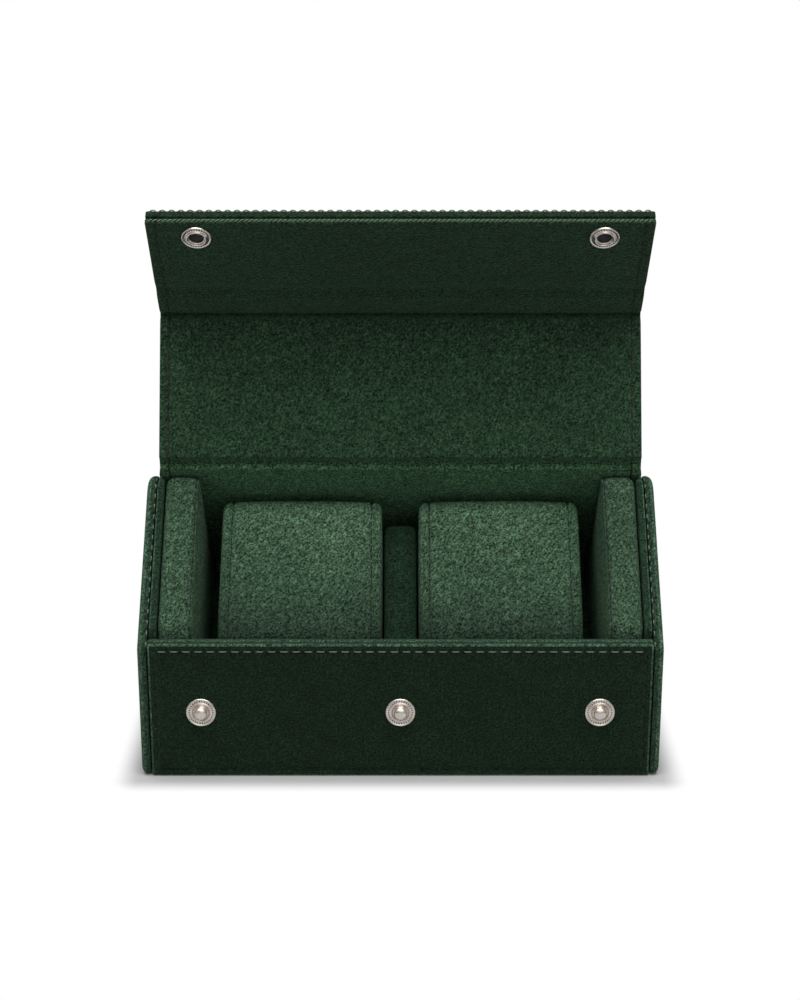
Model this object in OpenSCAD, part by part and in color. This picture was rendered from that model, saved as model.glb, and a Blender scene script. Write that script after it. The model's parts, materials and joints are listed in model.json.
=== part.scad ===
// Travel case for two wristwatches: a house-shaped box of covered boards with padded ends,
// two lift-out watch pillows and a folding lid that closes with press snaps.
// Millimetres. X runs along the case, Y from the front wall to the back, Z up.
// The lid is drawn open, and the origin is the middle of the base.

/* [Case] */
// Width over the two end plates
case_w = 190; // [170:1:230]
// Height of the end plates and the rear wall, up to where the slopes start
eave_h = 50.2; // [46:0.2:56]
// How far the front wall stands above that
wall_rise = 1.8; // [0:0.1:2]
// Height at which the two slopes are the ridge's width apart
ridge_h = 100.5; // [96:0.5:108]
// How far each slope runs back
slope_run = 47.4; // [45:0.2:54]
// Width of the ridge between the two slopes
ridge_w = 10.6; // [9:0.2:14]

/* [Boards] */
// Thickness of the outer covered board
board_t = 3.4; // [3:0.1:4]
// Thickness of the padded lining inside it
lining_t = 2.6; // [2.2:0.1:3]

/* [Ends] */
// Thickness of the outer end plate
plate_t = 3.3; // [2.5:0.1:4.5]
// Radius of its ridge
plate_ridge_r = 10; // [6:0.5:12]
// How far the rear slope's boards stand proud of it
rear_proud = 3; // [2:0.2:4]
// Thickness of the layer sewn inside the end plate
layer_t = 3.1; // [2.5:0.1:4]
// How far that layer and the pad stay below the plate's edge
layer_drop = 0.7; // [0.5:0.1:1.2]
// Thickness of the end pad
pad_t = 12.5; // [8:0.5:14]
// Corner radius of the end pad's outline
pad_r = 6; // [4:0.5:8]

/* [Lid] */
// Side clearance between the lid and the end plates
lid_side_gap = 1.5; // [1:0.1:3]
// Main board, from the ridge hinge to the fold
main_len = 56.4; // [50:0.2:60]
// Flap, from the eave fold to its free edge
flap_len = 29.3; // [27:0.1:36]
// How far the open lid leans back from upright
lean = 20.8; // [10:0.2:30]
// How far the fold bends the open lid forwards
fold_bend = 59.8; // [40:0.2:62]
// Half the gap between boards at the ridge hinge
hinge_gap = 3.5; // [3.4:0.1:4.5]
// Half the gap between boards at the fold
fold_gap = 2.2; // [2.1:0.1:3]
// Half the gap between boards at the eave fold
flap_gap = 1.7; // [1.6:0.1:2.5]
// Gap between the closed flap and the front wall
flap_standoff = 3.4; // [3.3:0.1:4.2]

/* [Snaps] */
// Distance of the outer snaps from the middle
snap_x = 72.4; // [60:0.2:76]
// How far the studs lie below the eave
stud_drop = 24.6; // [18:0.2:26]
// Diameter of the stud's flange and of the socket's ring
snap_d = 10.8; // [9:0.2:12]
// Diameter of the stud's head
ball_d = 4.9; // [4:0.1:5.5]
// Height of the stud over the front wall
stud_h = 3.1; // [2.8:0.1:3.1]
// Thickness of the stud's flange
flange_t = 0.8; // [0.6:0.1:1]
// How far the socket's ring stands out of the lining
socket_proud = 1.6; // [1.2:0.1:1.7]
// Clearance round the stud's head in the socket
snap_clear = 0.2; // [0.15:0.05:0.4]
// Height of the cap outside the flap
cap_h = 1.1; // [0.8:0.1:1.5]
// Diameter of the rivet posts
post_d = 2.8; // [2:0.1:3.2]

/* [Pillows] */
// Gap between a pillow and the end pad, for a strap and the fingers
strap_gap = 8; // [8:0.5:20]
// Length of a pillow up the slope
pillow_len = 62; // [58:0.5:62]
// Thickness of a pillow
pillow_t = 46; // [40:0.5:46.5]
// Depth of the pillows' faces below the mouth
pillow_drop = 12; // [10:0.5:14]
// Thickness of the pillow's end panels
end_panel_t = 1.6; // [1.2:0.1:2.4]
// Wall of the pillow's cover over its core
cover_t = 5; // [4:0.5:8]
// Distance of the sewn seams from the pillow's ends
seam_in = 4.4; // [3.5:0.1:6]
// Depth of the sewn channels
seam_depth = 0.8; // [0.4:0.1:1.2]
// Crown of the cushions
crown = 0.9; // [0.4:0.1:1.2]

/* [Divider] */
// Width of the padded divider
divider_w = 12.4; // [8:0.2:12.6]
// Depth of its face below the mouth
divider_drop = 24.5; // [20:0.5:30]
// Gap between a pillow and the divider
divider_gap = 0.3; // [0.3:0.1:4]

/* [Hidden] */

$fn = 64;
soft_gap = 0.3;     // clearance of a soft piece from its neighbour
foot_gap = 0.4;     // clearance between a pillow's foot and the front wall
cut = 1;            // how far a cutting solid passes its face
ring_steps = 40;    // points round a pillow's section
fullness = 8;       // exponent of the pillow's rounded section
draw_in = 0.018;    // share by which a pillow's sides draw in between its corners
rim_drop = 0.5;     // how far a cushion's rim lies below its crown
ridge_arc = 10;     // steps round the end plates' ridge
padding_gap = 2;    // how far the strip's padding ends before the front wall's top
pad_arc = 4;        // steps round a corner of the end pad
pad_edge = 2;       // steps along a side of the end pad
pad_seam_in = 1.6;  // distance of the end pad's seam from its inner face
toe_drop = 10;      // how far the cradle's toe stays below the front wall
divider_short = 7;  // how much the divider ends before the pillows
divider_r = 3;      // corner radius of the divider's face
divider_arc = 4;    // steps round that corner
barrel_wall = 0.8;  // wall of the socket's barrel
rivet_head_r = 4;   // radius of a rivet's head
rivet_head_t = 0.6; // thickness of a rivet's head
snap_edge = 0.3;    // bevel on the snaps' edges
stud_groove = 0.25; // depth of the ring in a stud's flange
dome_steps = 6;     // steps over a round head

wall_t = board_t + lining_t;
case_d = 2 * slope_run + ridge_w;
inner_half = case_w / 2 - plate_t;
layer_half = inner_half - layer_t;
pad_half = layer_half - pad_t;
lid_half = inner_half - lid_side_gap;
back_shift = (case_d - stud_h) / 2;

// Points and directions in the side view are [y, z].
wall_top = eave_h + wall_rise;
front_eave = [0, eave_h];
front_ridge = [slope_run, ridge_h];
rear_ridge = [slope_run + ridge_w, ridge_h];
rise = ridge_h - eave_h;
slope_len = norm([slope_run, rise]);
slope_angle = atan2(rise, slope_run);
up_slope = [slope_run, rise] / slope_len;
into_case = [rise, -slope_run] / slope_len;
rear_out = [rise, slope_run] / slope_len;
down_rear = [slope_run, -rise] / slope_len;

function turned(a) = [cos(a), sin(a)];
function cross2(a, b) = a[0] * b[1] - a[1] * b[0];
// Where the line through p along d meets the line through q along e
function meet(p, d, q, e) = p + d * (cross2(q - p, e) / cross2(d, e));
function rear_line(depth) = rear_ridge - rear_out * depth;
function mouth_line(depth) = front_eave + into_case * depth;

// The end plates' round ridge, where the mouth's line meets the line of their rear edges
plate_apex = meet(front_eave, up_slope, rear_line(rear_proud), down_rear);
plate_ridge = plate_apex - [0, plate_ridge_r / cos(slope_angle)];
plate_top = plate_ridge[1] + plate_ridge_r;

// Lid pivots, all at the middle of the boards' thickness
lid_t = wall_t;
ridge_pivot = meet(mouth_line(-lid_t / 2), up_slope, rear_line(lid_t / 2), down_rear);
closed_eave_pivot = meet(mouth_line(-lid_t / 2), up_slope, [-flap_standoff - lid_t / 2, 0], [0, 1]);
strip_len = norm(ridge_pivot - closed_eave_pivot) - main_len;
main_angle = 90 - lean;
strip_angle = main_angle + fold_bend;
fold_pivot = ridge_pivot + turned(main_angle) * main_len;
eave_pivot = fold_pivot + turned(strip_angle) * strip_len;
stud_z = eave_h - stud_drop;
socket_reach = closed_eave_pivot[1] - stud_z;
// Where the front wall's top comes above the closed strip's inner face, from the eave pivot
wall_reach = (meet(front_eave, up_slope, [0, wall_top], [1, 0]) - closed_eave_pivot) * up_slope;
strip_padding_end = strip_len - max(flap_gap, wall_rise > 0 ? wall_reach + padding_gap : 0);
closing = 180 + slope_angle - main_angle;
flap_turn = 90 - slope_angle;
roll_r = lid_t / 2;
socket_r = ball_d / 2 + snap_clear;
barrel_r = socket_r + barrel_wall;
engage = stud_h - (flap_standoff - socket_proud);

// Pillows: [up the slope, into the case] from the middle of the mouth
mouth_mid = (front_eave + front_ridge) / 2;
function in_mouth(up, deep) = mouth_mid + up_slope * up + into_case * deep;
wall_up = ([wall_t, wall_top] - mouth_mid) * up_slope;
pillow_foot = wall_up + foot_gap;
pillow_mid_up = pillow_foot + pillow_len / 2;
pillow_mid = in_mouth(pillow_mid_up, pillow_drop + pillow_t / 2);
pillow_w = pad_half - strap_gap - divider_w / 2 - divider_gap;
pillow_x = divider_w / 2 + divider_gap + pillow_w / 2;
band_half = pillow_w / 2 - end_panel_t;
seam_at = pillow_w / 2 - seam_in;
cradle_apex = in_mouth(pillow_foot - soft_gap, pillow_drop + pillow_t + soft_gap);
ramp_top_z = eave_h - wall_t;
toe_top_z = eave_h - toe_drop;
divider_top_up = pillow_foot + pillow_len - divider_short;

echo(ridge_pivot = ridge_pivot, fold_pivot = fold_pivot, eave_pivot = eave_pivot);
echo(back_shift = back_shift, closing = closing, flap_turn = flap_turn, pillow_lift = -into_case);

// Extrudes a side-view outline from x0 to x1, in the case's frame
module slab(points, x0, x1) {
    translate([x0, -back_shift, 0])
        rotate([90, 0, 90])
            linear_extrude(height = x1 - x0)
                polygon(points);
}

// Places children in a lid board's frame: Y along the board from its pivot, Z to the lining
module on_board(pivot, angle) {
    translate([0, pivot[0] - back_shift, pivot[1]])
        rotate([angle, 0, 0])
            children();
}

module board_layer(from, to, low, high) {
    translate([-lid_half, from, low])
        cube([2 * lid_half, to - from, high - low]);
}

module outer_layer(from, to) board_layer(from, to, -lid_t / 2, -lid_t / 2 + board_t);
module inner_layer(from, to) board_layer(from, to, -lid_t / 2 + board_t, lid_t / 2);

// A roll of folded cloth on a pivot, with the web that runs to its own board's end
module cloth_roll(radius, reach) {
    web_t = radius * 0.8;
    translate([-lid_half, 0, 0])
        rotate([0, 90, 0])
            cylinder(r = radius, h = 2 * lid_half);
    translate([-lid_half, min(0, reach), -web_t / 2])
        cube([2 * lid_half, abs(reach), web_t]);
}

// ---- Case boards ----

module front_panel() {
    color([0.10, 0.20, 0.15])
        difference() {
            slab([[0, 0], [board_t, 0], [board_t, wall_top], [0, wall_top]], -inner_half, inner_half);
            at_studs() translate([0, 0, -board_t - cut]) cylinder(d = post_d, h = board_t + 2 * cut);
        }
}

module front_lining() {
    color([0.14, 0.30, 0.21])
        difference() {
            slab([[board_t, board_t], [wall_t, board_t], [wall_t, wall_top], [board_t, wall_top]],
                 -inner_half, inner_half);
            at_studs() translate([0, 0, -board_t - rivet_head_t])
                cylinder(r = rivet_head_r, h = rivet_head_t + cut);
        }
}

module bottom_board() {
    color([0.08, 0.17, 0.13])
        slab([[board_t, 0], [case_d - board_t, 0], [case_d - board_t, board_t], [board_t, board_t]],
             -inner_half, inner_half);
}

module floor_lining() {
    color([0.14, 0.30, 0.21])
        slab([[wall_t, board_t], [case_d - wall_t, board_t], [case_d - wall_t, wall_t], [wall_t, wall_t]],
             -inner_half, inner_half);
}

// The rear eave's mitre, at a depth inside the case
function rear_mitre(depth) = meet([case_d - depth, 0], [0, 1], rear_line(depth), down_rear);
function hinge_end(depth) = meet(rear_line(depth), down_rear, ridge_pivot + down_rear * hinge_gap, rear_out);

module rear_panel() {
    color([0.10, 0.20, 0.15])
        slab([[case_d - board_t, 0], [case_d, 0], rear_mitre(0), rear_mitre(board_t)],
             -inner_half, inner_half);
}

module rear_lining() {
    color([0.14, 0.30, 0.21])
        slab([[case_d - wall_t, board_t], [case_d - board_t, board_t],
              rear_mitre(board_t), rear_mitre(wall_t)], -inner_half, inner_half);
}

module rear_slope_panel() {
    color([0.10, 0.20, 0.15])
        slab([rear_mitre(board_t), rear_mitre(0), hinge_end(0), hinge_end(board_t)], -inner_half, inner_half);
}

module rear_slope_lining() {
    color([0.14, 0.30, 0.21])
        slab([rear_mitre(wall_t), rear_mitre(board_t), hinge_end(board_t), hinge_end(wall_t)],
             -inner_half, inner_half);
}

module ridge_roll() {
    color([0.08, 0.17, 0.13])
        on_board(ridge_pivot, atan2(down_rear[1], down_rear[0])) cloth_roll(roll_r, hinge_gap);
}

// ---- Ends ----

module end_plate(side) {
    arc = [for (k = [0:ridge_arc])
        plate_ridge + turned(90 + slope_angle - 2 * slope_angle * k / ridge_arc) * plate_ridge_r];
    rear_corner = meet([case_d, 0], [0, 1], rear_line(rear_proud), down_rear);
    outline = concat([[0, 0], front_eave], arc, [rear_corner, [case_d, 0]]);
    x0 = side < 0 ? -case_w / 2 : inner_half;
    color([0.11, 0.23, 0.17]) slab(outline, x0, x0 + plate_t);
}

// Outline inside the boards, in order round the case, kept clear of them by gap
function lining_outline(gap) =
    let (low = wall_t + gap, slope = rear_line(wall_t + gap), mouth = mouth_line(layer_drop),
         top = plate_top - layer_drop)
    [
        [low, low],
        meet([low, 0], [0, 1], mouth, up_slope),
        meet([0, top], [1, 0], mouth, up_slope),
        meet([0, top], [1, 0], slope, down_rear),
        meet([case_d - low, 0], [0, 1], slope, down_rear),
        [case_d - low, low]
    ];

// The same without the flat top, for the pad's rounded ridge
function pad_outline(gap) =
    let (low = wall_t + gap, slope = rear_line(wall_t + gap), mouth = mouth_line(layer_drop))
    [
        [low, low],
        meet([low, 0], [0, 1], mouth, up_slope),
        meet(mouth, up_slope, slope, down_rear),
        meet([case_d - low, 0], [0, 1], slope, down_rear),
        [case_d - low, low]
    ];

module end_layer(side) {
    x0 = side < 0 ? -inner_half : layer_half;
    color([0.16, 0.34, 0.24]) slab(lining_outline(0), x0, x0 + layer_t);
}

// A convex outline moved inwards by d, wound clockwise in the side view
function inset(points, d) =
    let (n = len(points))
    [for (i = [0:n - 1])
        let (before = points[(i + n - 1) % n], here = points[i], after = points[(i + 1) % n],
             a = (here - before) / norm(here - before), b = (after - here) / norm(after - here))
        meet(here + [a[1], -a[0]] * d, a, here + [b[1], -b[0]] * d, b)];

// The same outline with round corners: an arc at each corner and even steps along each side
function rounded(points, r) =
    let (n = len(points), centres = inset(points, r))
    [for (i = [0:n - 1])
        let (before = points[(i + n - 1) % n], here = points[i], after = points[(i + 1) % n],
             a = atan2(here[1] - before[1], here[0] - before[0]) + 90,
             b = atan2(after[1] - here[1], after[0] - here[0]) + 90,
             sweep = (a - b + 720) % 360,
             last = centres[i] + turned(b) * r,
             next = centres[(i + 1) % n] + turned(b) * r)
        each concat(
            [for (k = [0:pad_arc]) centres[i] + turned(a - sweep * k / pad_arc) * r],
            [for (k = [1:pad_edge]) last + (next - last) * k / (pad_edge + 1)])];

// Closed skin over rings of points, with a point at each end
function ring_faces(rings, n) = concat(
    [for (j = [0:rings - 2], i = [0:n - 1])
        let (p = j * n + i, q = j * n + (i + 1) % n) each [[p, q, q + n], [p, q + n, p + n]]],
    [for (i = [0:n - 1]) [rings * n, (i + 1) % n, i]],
    [for (i = [0:n - 1]) [rings * n + 1, (rings - 1) * n + i, (rings - 1) * n + (i + 1) % n]]);

// End pad: foam under cloth, flat on the end layer, with a crowned rim and inner face.
// The rings run from the layer to the inner face: [distance from the layer, inset].
module end_pad(side) {
    outline = pad_outline(soft_gap);
    seam_x = pad_t - pad_seam_in;
    rings = [
        [0, 0.6], [0.6, 0.1], [seam_x * 0.5, 0], [seam_x - 1, 0.2], [seam_x, 0.2 + seam_depth],
        [seam_x + 0.6, 0.7], [pad_t - crown, 2.4], [pad_t - crown * 0.45, 9], [pad_t - crown * 0.15, 18],
        [pad_t, 26]
    ];
    loops = [for (ring = rings)
        [for (p = rounded(inset(outline, ring[1]), max(pad_r - ring[1] * 0.2, 1)))
            [ring[0], p[0] - back_shift, p[1]]]];
    n = len(loops[0]);
    last = loops[len(loops) - 1];
    middle = [for (axis = [1:2]) [for (p = last) p[axis]] * [for (p = last) 1] / n];
    points = concat(
        [for (loop = loops) each loop],
        [[0, middle[0], middle[1]], [pad_t, middle[0], middle[1]]]);
    turn = side < 0 ? 0 : 1;
    color([0.22, 0.42, 0.31])
        mirror([turn, 0, 0])
            translate([-layer_half, 0, 0])
                polyhedron(points = points, faces = ring_faces(len(rings), n));
}

// ---- Inside ----

module cradle_ramp() {
    top = meet([0, ramp_top_z], [1, 0], cradle_apex, up_slope);
    color([0.12, 0.26, 0.19])
        slab([[cradle_apex[0], wall_t], cradle_apex, top, [case_d - wall_t, ramp_top_z],
              [case_d - wall_t, wall_t]], -pad_half, pad_half);
}

module cradle_toe() {
    top = meet([0, toe_top_z], [1, 0], cradle_apex, into_case);
    color([0.12, 0.26, 0.19])
        slab([[wall_t, wall_t], [wall_t, toe_top_z], top, cradle_apex, [cradle_apex[0], wall_t]],
             -pad_half, pad_half);
}

module divider() {
    low = pillow_foot - soft_gap;
    deep = pillow_drop + pillow_t + soft_gap;
    low_arc = in_mouth(low + divider_r, divider_drop + divider_r);
    top_arc = in_mouth(divider_top_up - divider_r, divider_drop + divider_r);
    outwards = 90 + slope_angle;
    step = 90 / divider_arc;
    color([0.12, 0.27, 0.19])
        slab(concat(
            [in_mouth(low, deep)],
            [for (k = [0:divider_arc]) low_arc + turned(outwards + 90 - step * k) * divider_r],
            [for (k = [0:divider_arc]) top_arc + turned(outwards - step * k) * divider_r],
            [in_mouth(divider_top_up, deep)]), -divider_w / 2, divider_w / 2);
}

// ---- Pillows ----

function power(v) = sign(v) * pow(abs(v), 2 / fullness);
// Section of a pillow, inset by d: [up the slope, out of the case]
function section(d) = [for (i = [0:ring_steps - 1])
    let (t = 360 * i / ring_steps)
    [(pillow_len / 2 - d) * power(cos(t)), (pillow_t / 2 - d) * power(sin(t))]];
// Half the width left where the sides draw in between the corners
function drawn(x, i) =
    let (t = 360 * i / ring_steps, share = abs(x) / (pillow_w / 2))
    x * (1 - draw_in * share * (1 + cos(4 * t)) / 2);
// One ring of points round a pillow: x from its middle, inset by d
function pillow_ring(x, d) =
    let (s = section(d)) [for (i = [0:ring_steps - 1]) [drawn(x, i), s[i][0], s[i][1]]];

module in_pillow(side) {
    translate([side * pillow_x, pillow_mid[0] - back_shift, pillow_mid[1]])
        rotate([slope_angle, 0, 0])
            children();
}

// Stations along half of the band: [distance from the middle, inset]
band_half_rings = [
    [band_half, crown + rim_drop], [(band_half + seam_at) / 2 + 0.3, crown * 0.7],
    [seam_at + 0.7, crown * 0.85], [seam_at, crown * 0.9 + seam_depth], [seam_at - 0.8, crown * 0.8],
    [seam_at * 0.75, crown * 0.4], [seam_at * 0.4, crown * 0.1]
];

// The sewn band: a tube of padded cloth round the core, with a channel at each seam
module pillow_band(side) {
    rings = concat(
        [for (r = band_half_rings) [-r[0], r[1]]],
        [[0, 0]],
        [for (i = [len(band_half_rings) - 1:-1:0]) band_half_rings[i]]);
    count = len(rings);
    n = ring_steps;
    outer = [for (ring = rings) each pillow_ring(ring[0], ring[1])];
    inner = [for (x = [-band_half, band_half]) each pillow_ring(x, cover_t)];
    near = count * n;
    far = near + n;
    last = (count - 1) * n;
    faces = concat(
        [for (j = [0:count - 2], i = [0:n - 1])
            let (p = j * n + i, q = j * n + (i + 1) % n) each [[p, q + n, q], [p, p + n, q + n]]],
        [for (i = [0:n - 1]) let (k = (i + 1) % n)
            each [[near + i, near + k, far + k], [near + i, far + k, far + i]]],
        [for (i = [0:n - 1]) let (k = (i + 1) % n) each [[i, k, near + i], [k, near + k, near + i]]],
        [for (i = [0:n - 1]) let (k = (i + 1) % n)
            each [[last + i, far + i, last + k], [far + i, far + k, last + k]]]);
    color([0.22, 0.43, 0.31])
        in_pillow(side) polyhedron(points = concat(outer, inner), faces = faces);
}

// A closed cushion form over rings of [x from the middle, inset], with a point at each end
module pillow_form(rings, first_x, last_x) {
    faces = ring_faces(len(rings), ring_steps);
    polyhedron(
        points = concat(
            [for (ring = rings) each pillow_ring(ring[0], ring[1])],
            [[first_x, 0, 0], [last_x, 0, 0]]),
        faces = [for (f = faces) [f[0], f[2], f[1]]]);
}

// The two side panels, sewn over the ends of the band. They meet the band and the core face to face.
module pillow_ends(side) {
    face = pillow_w / 2;
    rings = [
        [band_half, cover_t], [band_half, crown + rim_drop], [band_half + 0.6, crown + 0.7],
        [face - 0.2, crown + 1.6], [face, crown + 7]
    ];
    color([0.18, 0.36, 0.26])
        in_pillow(side)
            for (end = [0, 1])
                mirror([end, 0, 0])
                    pillow_form(rings, drawn(band_half, 0), face - 0.3);
}

// The block of foam that the band wraps
module pillow_core(side) {
    end = drawn(band_half, 0);
    color([0.75, 0.75, 0.70])
        in_pillow(side)
            pillow_form([[-band_half, cover_t], [band_half, cover_t]], -end, end);
}

// ---- Lid ----

module lid_main_board() {
    color([0.10, 0.20, 0.15]) on_board(ridge_pivot, main_angle) outer_layer(hinge_gap, main_len - fold_gap);
}

module lid_main_lining() {
    color([0.14, 0.31, 0.21]) on_board(ridge_pivot, main_angle) inner_layer(hinge_gap, main_len - fold_gap);
}

module fold_roll() {
    color([0.08, 0.17, 0.13]) on_board(fold_pivot, main_angle) cloth_roll(fold_gap - soft_gap, -fold_gap);
}

module lid_strip_board() {
    color([0.10, 0.20, 0.15]) on_board(fold_pivot, strip_angle) outer_layer(fold_gap, strip_len - flap_gap);
}

// The padding ends short of the eave, where the closed strip lies over the front wall's top
module lid_strip_lining() {
    color([0.12, 0.27, 0.19]) on_board(fold_pivot, strip_angle) inner_layer(fold_gap, strip_padding_end);
}

module eave_roll() {
    color([0.08, 0.17, 0.13]) on_board(eave_pivot, strip_angle) cloth_roll(flap_gap - soft_gap, -flap_gap);
}

module at_sockets() {
    for (x = [-snap_x, snap_x])
        on_board(eave_pivot, strip_angle)
            translate([x, socket_reach, 0])
                children();
}

module lid_flap_board() {
    color([0.10, 0.20, 0.15])
        difference() {
            on_board(eave_pivot, strip_angle) outer_layer(flap_gap, flap_len);
            at_sockets() translate([0, 0, -lid_t]) cylinder(d = post_d, h = 2 * lid_t);
        }
}

module lid_flap_lining() {
    color([0.12, 0.27, 0.19])
        difference() {
            on_board(eave_pivot, strip_angle) inner_layer(flap_gap, flap_len);
            at_sockets() translate([0, 0, -lid_t]) cylinder(r = barrel_r, h = 2 * lid_t);
        }
}

// ---- Snaps ----

module at_studs() {
    for (x = [-snap_x, 0, snap_x])
        translate([x, -back_shift, stud_z])
            rotate([90, 0, 0])
                children();
}

// Three studs on the front wall: a ringed flange, a neck and a round head
module snap_studs() {
    r = snap_d / 2;
    head = ball_d / 2;
    neck = head * 0.72;
    floor_z = flange_t - stud_groove;
    head_low = flange_t + (stud_h - flange_t) * 0.25;
    head_wide = flange_t + (stud_h - flange_t) * 0.5;
    step = 90 / dome_steps;
    color([0.80, 0.77, 0.70])
        at_studs()
            rotate_extrude()
                polygon(concat(
                    [[0, 0], [r, 0], [r, flange_t - snap_edge], [r - snap_edge, flange_t],
                     [r - 1.6, flange_t], [r - 2.1, floor_z], [neck, floor_z], [neck, head_low],
                     [head, head_wide]],
                    [for (k = [1:dome_steps])
                        [head * cos(step * k), head_wide + (stud_h - head_wide) * sin(step * k)]]));
}

// Posts that hold the studs, headed under the front lining
module stud_rivets() {
    color([0.65, 0.63, 0.58])
        at_studs() {
            translate([0, 0, -board_t]) cylinder(d = post_d, h = board_t);
            translate([0, 0, -board_t - rivet_head_t]) cylinder(r = rivet_head_r, h = rivet_head_t);
        }
}

// Two sockets in the flap: a ring on the lining and the barrel that takes the stud's head
module snap_sockets() {
    r = snap_d / 2;
    face = lid_t / 2 + socket_proud;
    floor_z = face - engage - snap_clear;
    color([0.80, 0.77, 0.70])
        at_sockets()
            rotate_extrude()
                polygon([
                    [0, -lid_t / 2 + board_t], [barrel_r, -lid_t / 2 + board_t], [barrel_r, lid_t / 2],
                    [r, lid_t / 2], [r, face - snap_edge * 2], [r - snap_edge * 2, face],
                    [socket_r + snap_edge, face], [socket_r, face - snap_edge],
                    [socket_r, floor_z], [0, floor_z]
                ]);
}

// Caps outside the flap, with posts that reach the sockets
module socket_caps() {
    r = snap_d / 2;
    back = -lid_t / 2;
    dome_low = back - snap_edge;
    step = 90 / dome_steps;
    color([0.80, 0.77, 0.70])
        at_sockets()
            rotate_extrude()
                polygon(concat(
                    [[0, back + board_t], [post_d / 2, back + board_t], [post_d / 2, back], [r, back]],
                    [for (k = [0:dome_steps])
                        [(r - 0.2) * cos(step * k), dome_low - (cap_h - snap_edge) * sin(step * k)]]));
}

front_panel();
front_lining();
bottom_board();
floor_lining();
rear_panel();
rear_lining();
rear_slope_panel();
rear_slope_lining();
end_plate(-1);  // end_plate_left
end_plate(1);  // end_plate_right
end_layer(-1);  // end_layer_left
end_layer(1);  // end_layer_right
end_pad(-1);  // end_pad_left
end_pad(1);  // end_pad_right
cradle_ramp();
cradle_toe();
divider();
ridge_roll();
lid_main_board();
lid_main_lining();
fold_roll();
lid_strip_board();
lid_strip_lining();
eave_roll();
lid_flap_board();
lid_flap_lining();
snap_sockets();
socket_caps();
snap_studs();
stud_rivets();
pillow_band(-1);  // pillow_band_left
pillow_ends(-1);  // pillow_ends_left
pillow_core(-1);  // pillow_core_left
pillow_band(1);  // pillow_band_right
pillow_ends(1);  // pillow_ends_right
pillow_core(1);  // pillow_core_right
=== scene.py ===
"""Travel case for two wristwatches, dressed in green suede cloth over its boards.

Metres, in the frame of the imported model: X runs along the case, Y from the front wall to the
back and Z up. The case stands on the floor with its lid open.
"""

import json
import math

import bmesh
import bpy
import numpy as np
from mathutils import Matrix, Vector, kdtree


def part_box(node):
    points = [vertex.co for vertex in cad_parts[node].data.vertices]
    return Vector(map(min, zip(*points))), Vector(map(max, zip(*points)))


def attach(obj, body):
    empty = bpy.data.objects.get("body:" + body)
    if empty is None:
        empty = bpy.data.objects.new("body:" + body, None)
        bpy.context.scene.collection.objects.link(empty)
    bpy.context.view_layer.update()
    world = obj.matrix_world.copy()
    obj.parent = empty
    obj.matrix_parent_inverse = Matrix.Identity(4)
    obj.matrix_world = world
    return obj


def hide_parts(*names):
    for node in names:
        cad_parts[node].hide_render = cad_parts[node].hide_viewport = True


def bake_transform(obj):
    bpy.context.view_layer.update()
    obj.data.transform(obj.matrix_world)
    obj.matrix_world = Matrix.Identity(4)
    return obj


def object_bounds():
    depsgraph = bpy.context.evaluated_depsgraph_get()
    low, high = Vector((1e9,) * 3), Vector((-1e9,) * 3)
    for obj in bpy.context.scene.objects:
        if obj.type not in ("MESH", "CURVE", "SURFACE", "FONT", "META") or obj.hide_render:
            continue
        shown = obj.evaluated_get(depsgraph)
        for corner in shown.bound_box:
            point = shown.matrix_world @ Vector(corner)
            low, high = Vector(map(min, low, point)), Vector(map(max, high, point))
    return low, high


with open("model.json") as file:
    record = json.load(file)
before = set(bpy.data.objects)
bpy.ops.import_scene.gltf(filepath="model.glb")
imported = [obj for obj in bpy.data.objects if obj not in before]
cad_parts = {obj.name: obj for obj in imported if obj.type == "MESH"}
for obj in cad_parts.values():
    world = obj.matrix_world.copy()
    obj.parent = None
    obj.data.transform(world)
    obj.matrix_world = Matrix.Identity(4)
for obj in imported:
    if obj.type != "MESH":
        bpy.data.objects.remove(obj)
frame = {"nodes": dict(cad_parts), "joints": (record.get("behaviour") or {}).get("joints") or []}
cad_box = [list(corner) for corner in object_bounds()]
mm = 0.001

# ---- Camera, floor and light ------------------------------------------
# A table-top studio. The floor is pale and plain white away from the case, one wide soft lamp
# hangs overhead with a weak one in front, and the camera looks down at the open case.

camera_data = bpy.data.cameras.new("camera")
camera_data.lens = 66.95
camera_data.sensor_width = 36
camera = bpy.data.objects.new("camera", camera_data)
camera.location = (-0.00016, -0.67135, 0.3040)
camera.rotation_euler = (math.radians(90 - 17.67), 0, 0)
bpy.context.scene.collection.objects.link(camera)
bpy.context.scene.camera = camera
bpy.context.scene.view_settings.view_transform = "Standard"


def add(tree, kind, inputs=(), **settings):
    """The outputs of a new node in a tree. Each of its inputs takes a value or another node's output"""
    node = tree.nodes.new(kind)
    for name, value in settings.items():
        setattr(node, name, value)
    for name, value in dict(inputs).items():
        if isinstance(value, bpy.types.NodeSocket):
            tree.links.new(value, node.inputs[name])
        else:
            node.inputs[name].default_value = value
    return node.outputs


def maths(tree, operation, a, b=0):
    return add(tree, "ShaderNodeMath", {0: a, 1: b}, operation=operation)[0]


def spread(tree, value, low, high, to_low, to_high):
    """A value between low and high, stretched to another range and held inside it"""
    return add(tree, "ShaderNodeMapRange", {
        "Value": value, "From Min": low, "From Max": high, "To Min": to_low, "To Max": to_high})["Result"]


def new_material(name):
    """A material, its empty node tree and the place of a point on the piece"""
    material = bpy.data.materials.new(name)
    material.use_nodes = True
    tree = material.node_tree
    tree.nodes.clear()
    return material, tree, add(tree, "ShaderNodeTexCoord")["Object"]


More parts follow.
